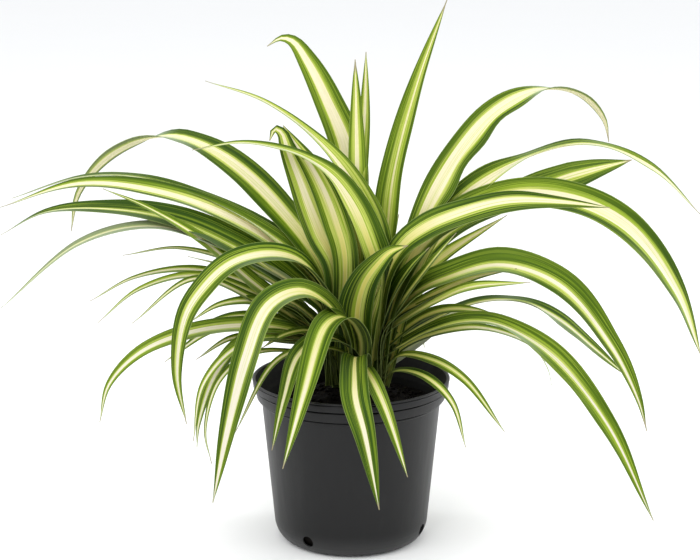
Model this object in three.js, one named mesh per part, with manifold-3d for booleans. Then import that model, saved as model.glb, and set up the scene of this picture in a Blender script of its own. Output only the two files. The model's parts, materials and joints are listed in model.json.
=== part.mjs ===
// A potted spider plant: a tapered plastic grower pot, the potting soil that fills it and a clump of
// leaf rosettes. Millimetres, +Z up, the pot's underside on z = 0 and its axis on the Z axis.
import * as THREE from "three";
import { mergeVertices } from "three/addons/utils/BufferGeometryUtils.js";
import Module from "manifold-3d";

const wasm = await Module();
wasm.setup();

// ---------------------------------------------------------------- pot
const potHeight = 128;
const rimRadius = 76;
const rimBandHeight = 7.5;
const rimBandLean = 1;
const secondBandTopRadius = 73.8;
const secondBandFootRadius = 72.3;
const bandGroove = 0.9;
const bandStep = 0.5;
const rimEdge = 0.7;
const rimEdgeHeight = 1;
const rimThickness = 2.8;
const bandThickness = 2.5;
const shelfRise = 1.5;
const wallTopRadius = 68.8;
const wallFootRadius = 59.3;
const cornerHeight = 13;
const baseRadius = 49;
// The rounded corner between the underside and the wall, as [radius, height].
const outerCorner = [[52.6, 1.6], [55.9, 4.6], [58.2, 8.4]];
// The same corner inside the pot, as [distance in from the foot of the inside wall, height].
const innerCorner = [[1.2, 9], [3.8, 5.6], [7.6, 3.2]];
const innerFloorInset = 10.5;
const wallThickness = 1.6;
const floorThickness = 2.4;
const potSides = 40;
const drainRadius = 4.7;
const drainLength = 30;
const drainSides = 12;
const drainAngles = [-124, -22, 107];
const drainTilt = 14;
const drainCentreRadius = 56;
const drainCentreHeight = 11.6;

// ---------------------------------------------------------------- soil
const fitGap = 0.35;
const cornerGap = 0.5;
const soilEdgeHeight = 105;
const moundHeight = 15;
const moundRadius = 52;
const moundFalloff = 2.2;
const soilRoughness = 1.1;
const soilSeed = 161803;
const soilSides = 32;
const soilRings = [12, 25, 38, 50, 60];

// ---------------------------------------------------------------- crowns and blades
const crownRadius = 7;
const crownNeckRadius = 5.5;
const crownTipRadius = 3;
const crownFootHeight = 106;
const crownShoulderHeight = 124;
const crownNeckHeight = 134;
const crownTopHeight = 142;
const crownSides = 10;
const bladeRootReach = 3;
const bladeRootHeight = 122;
const bladeStepLength = 52;
const fewestBladeSteps = 5;
const mostBladeSteps = 10;
const weldTolerance = 0.03;
const midThickness = 0.9;
const edgeThickness = 0.7;
const tipWidth = 1.3;
const rootFold = 0.3;
const tipFold = 0.12;
const plainShape = [0.75, 0.45, 1.7];

// The blades of a rosette are rooted in its crown and spread from its fan point just above, each in an
// upright plane. A row holds: a label, the plane's compass angle in degrees (0 = +X, 90 = +Y), the
// midrib's [reach, height] stations in mm on the way to the tip, the full width, the rolls about the
// midrib in degrees from root to tip and, where they differ from the plain shape, [share of the width
// at the root, where along it is widest, tip taper] and the angle the plane turns through to the tip.
const early = [0.75, 0.3, 1.2];
const late = [0.7, 0.65, 1.7];
const rosettes = {
  rosette_middle: {
    crown: [7, 12],
    fan: [6, 8],
    blades: [
      ["L3a", 80, [[4, 220], [9, 286], [27, 329], [31, 373]], 12, [0, 0], [0.75, 0.45, 3]],
      ["L3b", 100, [[4, 215], [8, 286], [13, 331], [17, 369]], 15, [0, 0], [0.75, 0.45, 3]],
      ["L4", 180, [[-8, 190], [-13, 236], [14, 292], [68, 338], [115, 355]], 23,
        [-60, -70, -62, -18, -15], early],
    ],
  },
  rosette_left: {
    crown: [-9, 0],
    fan: [-14, 2],
    blades: [
      ["L5", 182, [[-3, 214], [9, 240], [24, 279], [34, 305], [38, 317], [43, 320], [47, 311]], 26,
        [-70, -70], [0.75, 0.45, 4]],
      ["U1", 176, [[-9, 221], [-2, 249], [7, 273], [17, 292], [28, 308], [37, 322]], 21,
        [-70, -70], [0.75, 0.5, 3]],
      ["A", 160, [[5, 205], [38, 251], [90, 293], [135, 306], [182, 290], [214, 257], [222, 225]], 23,
        [-55, -55, -55, -55, -50, -20, 30, 38, 45]],
      ["B1", 172, [[6, 199], [30, 225], [63, 248], [105, 267], [150, 279], [195, 278], [250, 260]], 20,
        [-45, -35, -8, -5, -20], [0.8, 0.35, 1.3]],
      ["B2", 178, [[6, 188], [25, 217], [75, 251], [130, 271], [190, 277], [253, 258]], 20,
        [-35, -35, -35, -20]],
      ["C", 185, [[6, 180], [33, 203], [70, 230], [115, 252], [165, 262], [215, 260], [249, 243]], 26,
        [-40, -40, -38, -5], [0.8, 0.4, 1.5]],
      ["D", 190, [[10, 165], [57, 200], [100, 239], [140, 265], [172, 280]], 15, [-40, -40],
        [0.7, 0.45, 1.3]],
      ["E", 188, [[15, 185], [70, 225], [135, 249], [190, 238], [250, 190]], 14, [-25, -20]],
      ["F", 182, [[17, 176], [63, 212], [115, 229], [159, 224]], 9, [-20, -20]],
      ["Fb", 180, [[10, 168], [40, 188], [80, 213], [110, 222]], 7, [-20, -20]],
      ["N1", 172, [[12, 170], [60, 196], [110, 208], [155, 200], [191, 180]], 10, [-30, -30]],
      ["N2", 178, [[12, 165], [60, 192], [105, 206], [148, 195], [181, 168]], 10, [-30, -30]],
      ["N3", 184, [[12, 161], [60, 189], [105, 206], [153, 172]], 9, [-30, -30]],
      ["L13", 212, [[2, 184], [11, 202], [29, 221], [55, 230], [87, 227], [110, 212], [126, 192],
        [134, 150], [127, 110]], 21, [-20, -40]],
      ["Ma", 187, [[12, 156], [50, 186], [85, 187], [109, 174]], 13, [-30, -30]],
      ["Mb", 190, [[8, 153], [33, 170], [75, 178], [111, 169]], 13, [-30, -30]],
      ["Mb2", 196, [[9, 150], [45, 168], [90, 172], [131, 149]], 13, [-30, -30]],
      ["M1", 205, [[7, 153], [60, 173], [115, 175], [156, 164], [180, 143], [188, 115]], 17, [-30, -30]],
      ["Mc", 200, [[9, 149], [42, 160], [80, 165], [109, 151]], 10, [-30, -30]],
      ["I1", 196, [[6, 153], [30, 184], [53, 190], [66, 183]], 16, [-30, -30]],
      ["S1", 218, [[5, 151], [20, 166], [45, 168], [67, 161]], 9, [-20, -30]],
      ["I4", 200, [[8, 163], [22, 180], [38, 191], [58, 196]], 14, [-30, -30]],
      ["F7", 214, [[4, 146], [40, 164], [80, 166], [105, 144], [119, 110], [121, 92]], 15, [-20, -20]],
      ["F7b", 217, [[4, 142], [40, 162], [85, 166], [118, 142], [128, 100]], 9, [-20, -20]],
      ["F7c", 219, [[4, 139], [41, 154], [79, 158], [108, 142], [120, 108], [115, 81]], 6, [-20, -20]],
    ],
  },
  rosette_right: {
    crown: [20, 0],
    fan: [26, 0],
    blades: [
      ["L6", 187, [[6, 180], [5, 212], [12, 237], [23, 263], [39, 285], [57, 298], [76, 306],
        [109, 312], [145, 307]], 23, [-60, -75, -65, -15, -15], [0.75, 0.35, 1.3]],
      ["R1", 25, [[17, 210], [48, 276], [89, 323], [132, 341], [170, 334], [191, 314], [196, 296]], 24,
        [45, 45, 45, 45, 40, -20, -50], [0.35, 0.5, 1.7]],
      ["R2", 18, [[30, 228], [75, 274], [160, 300], [220, 279], [265, 238]], 20,
        [50, 50, 50, 42, -2, 10, 42, 45], [0.85, 0.3, 2.3]],
      ["R3", -5, [[0, 200], [13, 229], [30, 243], [56, 255], [90, 265], [131, 266], [168, 263]], 24,
        [40, 50], [0.4, 0.5, 1.7]],
      ["R4", 35, [[14, 186], [52, 229], [111, 251], [173, 263], [250, 271]], 23, [40, 45, 60],
        [0.35, 0.8, 1.3]],
      ["R5", 8, [[4, 180], [27, 228], [57, 253], [119, 267], [184, 243], [229, 188], [251, 135]], 27,
        [30, 35, 50, 60, 60], [0.75, 0.6, 2.4]],
      ["R6", -12, [[-1, 165], [12, 183], [27, 198], [46, 208], [88, 221], [133, 208], [173, 163],
        [194, 122], [201, 97]], 26, [35, 30, 45, 60]],
      ["R6b", -25, [[3, 162], [21, 178], [45, 193], [69, 205], [117, 214]], 14, [30, 30]],
      ["R7", 20, [[4, 148], [70, 178], [113, 177], [148, 159], [180, 132], [209, 107]], 16,
        [20, 0, 0, 50, 60], late],
      ["R8", -20, [[-1, 142], [16, 155], [36, 167], [60, 176], [83, 178], [107, 171], [135, 154],
        [175, 108], [212, 37]], 22, [30, 20, 10, 35, 50, 55], [0.5, 0.45, 1.7]],
      ["R8b", -5, [[-5, 142], [12, 162], [31, 176], [50, 182], [72, 181], [91, 175]], 12, [30, 30]],
      ["R9", -38, [[12, 145], [45, 148], [75, 138], [111, 105]], 9, [20, 40]],
      ["R10", -52, [[12, 134], [50, 138], [80, 125], [95, 95]], 7.5, [20, 40]],
      ["PG", 28, [[13, 147], [76, 157], [132, 136], [150, 113], [154, 99]], 9, [20, 40]],
      ["IR1", -38, [[-4, 160], [2, 180], [12, 201], [25, 219], [41, 235]], 20, [50, 50]],
      ["IR2", 25, [[14, 190], [50, 218], [105, 245]], 13, [40, 40]],
      ["IR3", -30, [[3, 169], [16, 190], [31, 211], [45, 229], [60, 247]], 14, [45, 45]],
      ["R6c", -15, [[4, 169], [31, 190], [50, 201], [73, 211], [101, 219]], 12, [30, 30]],
    ],
  },
  rosette_front: {
    crown: [4, -17],
    fan: [10, -14],
    blades: [
      ["C1", -8, [[-5, 160], [-6, 178], [-4, 193], [1, 207], [10, 220], [20, 230], [33, 235]], 28,
        [80, 75], [0.85, 0.5, 1.6]],
      ["F5", 215, [[18, 167], [31, 190], [58, 206], [85, 199], [105, 163], [124, 104], [136, 58]], 25,
        [-45, -35, -15, -35, -40]],
      ["F3", 238, [[7, 162], [28, 184], [55, 183], [83, 140], [112, 90]], 20, [-10, -20]],
      ["F4", 222, [[12, 152], [38, 169], [65, 161], [80, 130], [92, 93]], 15, [-20, -30]],
      ["F6", 208, [[12, 148], [45, 160], [75, 153], [109, 103]], 6, [-20, -30]],
      ["F1", -114, [[12, 145], [34, 155], [66, 135], [83, 112], [99, 60]], 21, [0, 0], plainShape, 30],
      ["F2", -103, [[15, 141], [40, 145], [68, 126], [87, 79]], 12, [0, 0], plainShape, 34],
      ["I3", -15, [[1, 153], [5, 175], [10, 191], [13, 204]], 15, [75, 75]],
    ],
  },
  rosette_back: {
    crown: [13, 33],
    fan: [12, 28],
    blades: [
      ["L1", 15, [[13, 215], [20, 280], [40, 352], [63, 412]], 19, [60, 60]],
      ["L2", 150, [[14, 250], [17, 298], [35, 335], [52, 363], [65, 378], [76, 380], [89, 373]], 27,
        [-50, -50], [0.75, 0.45, 2.6]],
      ["BB", 25, [[22, 130], [47, 145], [73, 161], [96, 172]], 10, [60, 60]],
      ["T1", 60, [[15, 175], [30, 199], [52, 240]], 8, [10, 10]],
    ],
  },
};

// Hidden blades behind the clump, by rule: spread over the far side, long and drooping.
const farSeed = 2718281;
const farCount = 9;
const farFirstAngle = 68;
const farLastAngle = 122;
const farWidth = [14, 23];
const farLength = [110, 175];
const farCrest = [162, 212];
const farTip = [90, 130];
const farRoll = 6;
// Stations of a far blade: [share of its length, share of the crest's height, share of the root's height].
const farRise = [[0.08, 0.45, 0.55], [0.3, 0.98, 0.02], [0.55, 1, 0]];
const farFall = [0.82, 0.6, 0.4];

const degrees = (angle) => (angle * Math.PI) / 180;

function seededDraw(seed) {
  let state = seed >>> 0;
  return () => {
    state = (Math.imul(state, 1664525) + 1013904223) >>> 0;
    return state / 4294967296;
  };
}

function farBlades() {
  const draw = seededDraw(farSeed);
  const between = (range) => range[0] + (range[1] - range[0]) * draw();
  const rows = [];
  for (let index = 0; index < farCount; index += 1) {
    const angle = farFirstAngle + ((farLastAngle - farFirstAngle) * (index + 0.5)) / farCount;
    const length = between(farLength);
    const crest = between(farCrest);
    const tip = between(farTip);
    const stations = [
      ...farRise.map(([along, top, root]) => [length * along, top * crest + root * bladeRootHeight]),
      [length * farFall[0], farFall[1] * crest + farFall[2] * tip],
      [length, tip],
    ];
    rows.push(["far" + index, angle, stations, between(farWidth), [0, farRoll * (2 * draw() - 1)]]);
  }
  return rows;
}

// ---------------------------------------------------------------- shared helpers
function solidOf(positions, triangles) {
  return new wasm.Manifold(
    new wasm.Mesh({
      numProp: 3,
      vertProperties: new Float32Array(positions),
      triVerts: new Uint32Array(triangles),
    }),
  );
}

function solidFromGeometry(geometry) {
  const bare = geometry.clone();
  bare.deleteAttribute("normal");
  bare.deleteAttribute("uv");
  const merged = mergeVertices(bare, 1e-5);
  return solidOf(merged.attributes.position.array, merged.index.array);
}

function meshFromSolid(name, solid, material) {
  const data = solid.getMesh();
  const geometry = new THREE.BufferGeometry();
  geometry.setAttribute("position", new THREE.BufferAttribute(new Float32Array(data.vertProperties), 3));
  geometry.setIndex(new THREE.BufferAttribute(new Uint32Array(data.triVerts), 1));
  geometry.computeVertexNormals();
  const mesh = new THREE.Mesh(geometry, material);
  mesh.name = name;
  return mesh;
}

function turned(profile, sides) {
  const points = profile.map(([radius, height]) => new THREE.Vector2(radius, height));
  const geometry = new THREE.LatheGeometry(points, sides);
  geometry.rotateX(Math.PI / 2);
  return solidFromGeometry(geometry);
}

// ---------------------------------------------------------------- pot
// Half section of the pot: underside, rounded corner, tapering wall, second band, rim band, inside.
const bandJoint = potHeight - rimBandHeight;
const secondBandFoot = bandJoint - rimBandHeight - bandStep;
const innerWallTop = wallTopRadius - wallThickness;
const innerWallFoot = wallFootRadius - wallThickness;
const potOutside = [
  [0, 0],
  [baseRadius, 0],
  ...outerCorner,
  [wallFootRadius, cornerHeight],
  [wallTopRadius, secondBandFoot - bandStep],
  [secondBandFootRadius - bandGroove, secondBandFoot - bandStep],
  [secondBandFootRadius, secondBandFoot + bandStep],
  [secondBandTopRadius, bandJoint - bandStep],
  [secondBandTopRadius - bandGroove, bandJoint],
  [rimRadius - rimBandLean, bandJoint + bandStep],
  [rimRadius, potHeight - rimEdgeHeight],
  [rimRadius - rimEdge, potHeight],
];
const potInside = [
  [rimRadius - rimThickness + rimEdge, potHeight],
  [rimRadius - rimThickness, potHeight - rimEdgeHeight],
  [secondBandTopRadius - bandThickness, bandJoint],
  [secondBandFootRadius - bandThickness, secondBandFoot + shelfRise],
  [innerWallTop, secondBandFoot - shelfRise],
  [innerWallFoot, cornerHeight],
  ...innerCorner.map(([inset, height]) => [innerWallFoot - inset, height]),
  [innerWallFoot - innerFloorInset, floorThickness],
  [0, floorThickness],
];

function drainSolid(angle) {
  const geometry = new THREE.CylinderGeometry(drainRadius, drainRadius, drainLength, drainSides);
  // The cylinder's axis starts along Y. It ends up pointing outward and down through the corner.
  geometry.rotateX(Math.PI / 2);
  geometry.rotateY(degrees(90 + drainTilt));
  geometry.translate(drainCentreRadius, 0, drainCentreHeight);
  geometry.rotateZ(degrees(angle));
  return solidFromGeometry(geometry);
}

let pot = turned([...potOutside, ...potInside], potSides);
drainAngles.forEach((angle) => {
  pot = pot.subtract(drainSolid(angle));
});

// ---------------------------------------------------------------- soil
function crownSolid(at) {
  const profile = [
    [0, crownFootHeight],
    [crownRadius, crownFootHeight],
    [crownRadius, crownShoulderHeight],
    [crownNeckRadius, crownNeckHeight],
    [crownTipRadius, crownTopHeight],
    [0, crownTopHeight],
  ];
  return turned(profile, crownSides).translate([at[0], at[1], 0]);
}

function soilSolid() {
  const draw = seededDraw(soilSeed);
  const slope = (wallTopRadius - wallFootRadius) / (secondBandFoot - bandStep - cornerHeight);
  const edgeRadius = innerWallFoot + slope * (soilEdgeHeight - cornerHeight) - fitGap;
  const rings = [...soilRings, edgeRadius];
  const positions = [];
  const triangles = [];
  const rough = () => (draw() - 0.5) * 2 * soilRoughness;
  const mound = (radius) => moundHeight * Math.exp(-((radius / moundRadius) ** 4) * moundFalloff);
  positions.push(0, 0, soilEdgeHeight + mound(0));
  rings.forEach((radius, ring) => {
    const last = ring === rings.length - 1;
    for (let side = 0; side < soilSides; side += 1) {
      const angle = (2 * Math.PI * side) / soilSides;
      const height = soilEdgeHeight + mound(radius) + (last ? 0 : rough());
      positions.push(radius * Math.cos(angle), radius * Math.sin(angle), height);
    }
  });
  const under = [
    [innerWallFoot - fitGap, cornerHeight],
    ...innerCorner.map(([inset, height]) => [innerWallFoot - inset - cornerGap, height + fitGap]),
    [innerWallFoot - innerFloorInset - cornerGap, floorThickness + fitGap],
  ];
  under.forEach(([radius, height]) => {
    for (let side = 0; side < soilSides; side += 1) {
      const angle = (2 * Math.PI * side) / soilSides;
      positions.push(radius * Math.cos(angle), radius * Math.sin(angle), height);
    }
  });
  const bottom = positions.length / 3;
  positions.push(0, 0, floorThickness + fitGap);
  const ringStart = (ring) => 1 + ring * soilSides;
  const ringCount = rings.length + under.length;
  for (let side = 0; side < soilSides; side += 1) {
    const next = (side + 1) % soilSides;
    triangles.push(0, ringStart(0) + side, ringStart(0) + next);
    for (let ring = 0; ring < ringCount - 1; ring += 1) {
      const a = ringStart(ring) + side;
      const b = ringStart(ring) + next;
      const c = ringStart(ring + 1) + side;
      const d = ringStart(ring + 1) + next;
      triangles.push(a, c, d, a, d, b);
    }
    triangles.push(bottom, ringStart(ringCount - 1) + next, ringStart(ringCount - 1) + side);
  }
  return solidOf(positions, triangles);
}

let soil = soilSolid();
Object.values(rosettes).forEach(({ crown }) => {
  const hole = [
    [0, crownFootHeight - fitGap],
    [crownRadius + fitGap, crownFootHeight - fitGap],
    [crownRadius + fitGap, potHeight],
    [0, potHeight],
  ];
  soil = soil.subtract(turned(hole, crownSides).translate([crown[0], crown[1], 0]));
});

// ---------------------------------------------------------------- blades
function shareOfWidth(along, [root, widest, taper]) {
  if (along < widest) {
    const part = along / widest;
    return root + (1 - root) * part * part * (3 - 2 * part);
  }
  return 1 - ((along - widest) / (1 - widest)) ** taper;
}

function rollAlong(along, rolls) {
  const place = along * (rolls.length - 1);
  const index = Math.min(Math.floor(place), rolls.length - 2);
  const part = place - index;
  const eased = part * part * (3 - 2 * part);
  return degrees(rolls[index] + (rolls[index + 1] - rolls[index]) * eased);
}

function bladeSolid({ crown, fan }, [, angle, stations, width, rolls, shape = plainShape, turn = 0]) {
  const route = [[crown, bladeRootReach, bladeRootHeight]];
  stations.forEach(([reach, height]) => route.push([fan, reach, height]));
  const spots = route.map(([centre, reach, height], index) => {
    const heading = degrees(angle + (turn * index) / (route.length - 1));
    const x = centre[0] + reach * Math.cos(heading);
    const y = centre[1] + reach * Math.sin(heading);
    return new THREE.Vector3(x, y, height);
  });
  const midrib = new THREE.CatmullRomCurve3(spots, false, "centripetal");
  midrib.arcLengthDivisions = 400;
  const wanted = Math.round(midrib.getLength() / bladeStepLength) + 2;
  const bladeSteps = Math.min(Math.max(wanted, fewestBladeSteps), mostBladeSteps);
  const positions = [];
  const triangles = [];
  for (let step = 0; step <= bladeSteps; step += 1) {
    const along = step / bladeSteps;
    const spot = midrib.getPointAt(along);
    const forward = midrib.getTangentAt(along);
    const heading = degrees(angle + turn * along);
    const across = new THREE.Vector3(-Math.sin(heading), Math.cos(heading), 0);
    const upward = new THREE.Vector3().crossVectors(forward, across).normalize();
    across.crossVectors(upward, forward);
    const roll = rollAlong(along, rolls);
    const side = across.clone().multiplyScalar(Math.cos(roll)).addScaledVector(upward, Math.sin(roll));
    const face = upward.clone().multiplyScalar(Math.cos(roll)).addScaledVector(across, -Math.sin(roll));
    const half = Math.max((width * shareOfWidth(along, shape)) / 2, tipWidth / 2);
    const lift = half * (rootFold + (tipFold - rootFold) * along);
    const place = (sideways, height) => {
      const corner = spot.clone().addScaledVector(side, sideways).addScaledVector(face, height);
      positions.push(corner.x, corner.y, corner.z);
    };
    place(half, lift + edgeThickness / 2);
    place(0, midThickness / 2);
    place(-half, lift + edgeThickness / 2);
    place(-half, lift - edgeThickness / 2);
    place(0, -midThickness / 2);
    place(half, lift - edgeThickness / 2);
  }
  const skin = [[0, 1], [1, 2], [2, 3], [3, 4], [4, 5], [5, 0]];
  // Both faces of the blade are split along the same diagonal, so that it keeps its thickness.
  const split = [false, false, false, true, true, false];
  for (let step = 0; step < bladeSteps; step += 1) {
    skin.forEach(([left, right], index) => {
      const a = step * 6 + left;
      const b = step * 6 + right;
      const c = a + 6;
      const d = b + 6;
      if (split[index]) {
        triangles.push(a, b, c, b, d, c);
      } else {
        triangles.push(a, b, d, a, d, c);
      }
    });
  }
  const end = bladeSteps * 6;
  triangles.push(0, 4, 1, 0, 5, 4, 1, 3, 2, 1, 4, 3);
  triangles.push(end, end + 1, end + 4, end, end + 4, end + 5);
  triangles.push(end + 1, end + 2, end + 3, end + 1, end + 3, end + 4);
  return solidOf(positions, triangles);
}

rosettes.rosette_back.blades.push(...farBlades());

// Fusing can seal a small hollow between blades or leave a loose scrap: only the plant itself is kept.
function soundBody(solid) {
  const bodies = solid.asOriginal().simplify(weldTolerance).decompose();
  return bodies.reduce((largest, body) => (body.volume() > largest.volume() ? body : largest));
}

const rosetteSolids = Object.entries(rosettes).map(([name, rosette]) => {
  const pieces = rosette.blades.map((row) => bladeSolid(rosette, row));
  return [name, soundBody(wasm.Manifold.union([crownSolid(rosette.crown), ...pieces]))];
});

// ---------------------------------------------------------------- the part
const potPlastic = new THREE.MeshStandardMaterial({ color: 0x2e2e2f, roughness: 0.5, metalness: 0 });
const soilCrumb = new THREE.MeshStandardMaterial({ color: 0x17120e, roughness: 1, metalness: 0 });

const plant = new THREE.Group();
plant.name = "potted_spider_plant";
plant.add(meshFromSolid("pot", pot, potPlastic));
plant.add(meshFromSolid("potting_soil", soil, soilCrumb));
rosetteSolids.forEach(([name, solid]) => {
  const leafGreen = new THREE.MeshStandardMaterial({ color: 0x8aa53a, roughness: 0.55, metalness: 0 });
  plant.add(meshFromSolid(name, solid, leafGreen));
});

export default plant;
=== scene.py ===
# %% [markdown]
# # A potted spider plant
# A clump of strap leaves, cream down the middle and green along both margins, stands in a black plastic
# grower pot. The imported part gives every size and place. This file loads it as a fixed frame and builds
# finer pieces round it: a smooth moulded pot, crumbly soil and leaves with veins and stripes.

# %% Load the frame
import json
import math
import random

import bmesh
import bpy
import numpy as np
from mathutils import Matrix, Vector, noise

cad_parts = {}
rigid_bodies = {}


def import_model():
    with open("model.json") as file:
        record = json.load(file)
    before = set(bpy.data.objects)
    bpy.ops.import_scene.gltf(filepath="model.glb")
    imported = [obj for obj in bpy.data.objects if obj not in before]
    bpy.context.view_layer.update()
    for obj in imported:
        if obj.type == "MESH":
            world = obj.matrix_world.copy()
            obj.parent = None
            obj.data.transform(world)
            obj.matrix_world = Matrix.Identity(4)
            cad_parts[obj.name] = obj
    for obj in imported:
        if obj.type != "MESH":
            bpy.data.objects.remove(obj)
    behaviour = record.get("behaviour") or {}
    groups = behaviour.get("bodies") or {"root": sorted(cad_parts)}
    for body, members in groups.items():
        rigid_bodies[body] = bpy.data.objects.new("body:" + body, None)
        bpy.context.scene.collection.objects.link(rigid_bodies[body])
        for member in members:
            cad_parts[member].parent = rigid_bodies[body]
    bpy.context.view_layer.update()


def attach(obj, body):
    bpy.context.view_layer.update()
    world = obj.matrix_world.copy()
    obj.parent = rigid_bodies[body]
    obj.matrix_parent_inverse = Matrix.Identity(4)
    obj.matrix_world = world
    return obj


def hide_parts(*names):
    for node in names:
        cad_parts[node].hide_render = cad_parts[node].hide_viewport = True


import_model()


MM = 0.001

# %% [markdown]
# ## The camera
# The photograph was taken from a little above, with a long lens that keeps the pot's sides nearly
# parallel. A camera is aimed by its place and one tilt about X, which is easier to check than a target.

# %% Camera
CAMERA_PLACE = (-0.0008, -1.5013, 0.5644)
CAMERA_TILT = 76.5
CAMERA_LENS = 104.4
CAMERA_SENSOR = 36

scene = bpy.context.scene
bpy.ops.object.camera_add(location=CAMERA_PLACE, rotation=(math.radians(CAMERA_TILT), 0, 0))
camera = bpy.context.object
camera.name = "photo_camera"
camera.data.lens = CAMERA_LENS
camera.data.sensor_width = CAMERA_SENSOR
scene.camera = camera
print("camera at", tuple(camera.location), "lens", camera.data.lens, "mm")

# %% [markdown]
# ## Light and floor
# The plant stands in a white studio. A bright, even world lights every side and gives the pot its pale
# edges. Three large soft lamps add form, two in front and one overhead, and a narrow one at each side
# brings out the pot's wall. The floor is one pale plane.

# %% Light and floor
WORLD_COLOUR = (0.97, 0.985, 1, 1)
WORLD_STRENGTH = 1.05
# Each lamp's name, its place and its two sides in metres, and its power in watts.
LAMPS = [
    ("key_softbox", (-0.9, -1.5, 2.1), (1.5, 1.5), 23),
    ("fill_softbox", (1.7, -1.1, 1.3), (1.4, 1.4), 7),
    ("top_softbox", (0.1, 0.5, 2.3), (1.6, 1.6), 11),
    ("left_strip", (-1.3, 0.35, 0.3), (0.3, 0.9), 7),
    ("right_strip", (1.3, 0.4, 0.3), (0.3, 0.9), 8),
]
AIM = Vector((0, 0, 0.2))
FLOOR_SIZE = 30
FLOOR_DROP = 0.0002

scene.view_settings.view_transform = "Standard"
world = bpy.data.worlds.new("white_studio")
scene.world = world
world.use_nodes = True
background = world.node_tree.nodes["Background"]
background.inputs["Color"].default_value = WORLD_COLOUR
background.inputs["Strength"].default_value = WORLD_STRENGTH

for lamp_name, lamp_place, lamp_size, lamp_power in LAMPS:
    bpy.ops.object.light_add(type="AREA", location=lamp_place)
    lamp = bpy.context.object
    lamp.name = lamp_name
    lamp.data.shape = "RECTANGLE"
    lamp.data.size, lamp.data.size_y = lamp_size
    lamp.data.energy = lamp_power
    lamp.rotation_euler = (AIM - Vector(lamp_place)).to_track_quat("-Z", "Y").to_euler()

bpy.ops.mesh.primitive_plane_add(size=FLOOR_SIZE, location=(0, 0, -FLOOR_DROP))
floor = bpy.context.object
floor.name = "floor"
print("lamps:", [lamp[0] for lamp in LAMPS], "floor", FLOOR_SIZE, "m wide")

# %% [markdown]
# ## Small helpers for shaping and for materials
# Every operator works on what is selected, so a helper clears the selection first. Materials are built
# from a few kinds of node. Short functions keep each recipe readable: each adds one node, links it and
# finds the tree from the output that it builds on.

# %% Shaping helpers


def clear_selection():
    """Nothing is selected or active any more."""
    for each in bpy.context.selected_objects:
        each.select_set(False)
    bpy.context.view_layer.objects.active = None


def take(piece):
    """Selects one piece alone and makes it active."""
    clear_selection()
    piece.select_set(True)
    bpy.context.view_layer.objects.active = piece


def select_vertices(piece, wanted):
    """In edit mode, selects the vertices whose place passes the test, with their edges and faces."""
    shape = bmesh.from_edit_mesh(piece.data)
    bpy.context.tool_settings.mesh_select_mode = (True, False, False)
    for vertex in shape.verts:
        vertex.select_set(bool(wanted(vertex.co)))
    shape.select_flush_mode()
    bmesh.update_edit_mesh(piece.data)


def apply_modifiers(piece):
    """Applies every modifier of a piece in its order."""
    take(piece)
    for modifier in list(piece.modifiers):
        bpy.ops.object.modifier_apply(modifier=modifier.name)


def smooth_shade(piece, angle):
    """Smooth shading that keeps edges sharper than the angle crisp."""
    take(piece)
    bpy.ops.object.shade_smooth_by_angle(angle=math.radians(angle))


def own_copy(pattern):
    """A copy of a piece with a mesh of its own."""
    copy = pattern.copy()
    copy.data = pattern.data.copy()
    scene.collection.objects.link(copy)
    return copy


def join_pieces(pieces, name):
    """Joins pieces into one object with its origin at the frame's origin."""
    clear_selection()
    for each in pieces:
        each.select_set(True)
    bpy.context.view_layer.objects.active = pieces[0]
    bpy.ops.object.join()
    joined = bpy.context.object
    joined.name = name
    joined.data.name = name
    return joined


def note(mesh, name, values, domain="POINT"):
    """Keeps one number for each point or face of a mesh, for the material to read."""
    attribute = mesh.attributes.get(name) or mesh.attributes.new(name, "FLOAT", domain)
    attribute.data.foreach_set("value", np.asarray(values, np.float32))


print("shaping helpers ready")

# %% Node helpers


def add_node(tree, kind, inputs=None, **settings):
    """Adds a node, sets it up, and links or fills its inputs."""
    node = tree.nodes.new(kind)
    for key, value in settings.items():
        setattr(node, key, value)
    for key, value in (inputs or {}).items():
        if isinstance(value, bpy.types.NodeSocket):
            tree.links.new(value, node.inputs[key])
        else:
            node.inputs[key].default_value = value
    return node


def calculate(operation, first, second=0.0, third=0.0):
    """One Math node."""
    inputs = {0: first, 1: second, 2: third}
    return add_node(first.id_data, "ShaderNodeMath", inputs, operation=operation).outputs[0]


def times(first, second):
    """The product of two numbers."""
    return calculate("MULTIPLY", first, second)


def scaled(value, factor, offset):
    """A number times a factor, plus an offset."""
    return calculate("MULTIPLY_ADD", value, factor, offset)


def ramp(value, low, high, to_low=0.0, to_high=1.0):
    """A soft step from to_low to to_high while value goes from low to high."""
    inputs = {"Value": value, "From Min": low, "From Max": high, "To Min": to_low, "To Max": to_high}
    node = add_node(value.id_data, "ShaderNodeMapRange", inputs, interpolation_type="SMOOTHSTEP")
    return node.outputs["Result"]


def blend_colour(share, first, second):
    """A mix of two colours."""
    inputs = {0: share, 6: first, 7: second}
    return add_node(share.id_data, "ShaderNodeMix", inputs, data_type="RGBA").outputs[2]


def toned(colour, tone):
    """A colour multiplied by a tone."""
    tree = tone.id_data
    grey = add_node(tree, "ShaderNodeCombineColor", {"Red": tone, "Green": tone, "Blue": tone}).outputs[0]
    inputs = {0: 1.0, 6: colour, 7: grey}
    return add_node(tree, "ShaderNodeMix", inputs, data_type="RGBA", blend_type="MULTIPLY").outputs[2]


def grain_field(place, scale, detail, roughness=0.55):
    """A noise field from 0 to 1."""
    inputs = {"Vector": place, "Scale": scale, "Detail": detail, "Roughness": roughness}
    return add_node(place.id_data, "ShaderNodeTexNoise", inputs).outputs["Fac"]


def read_attribute(tree, name):
    """A number kept on the piece's points or faces."""
    return add_node(tree, "ShaderNodeAttribute", attribute_name=name).outputs["Fac"]


def object_place(tree):
    """Object coordinates, which are metres in the part's frame."""
    return add_node(tree, "ShaderNodeTexCoord").outputs["Object"]


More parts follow.
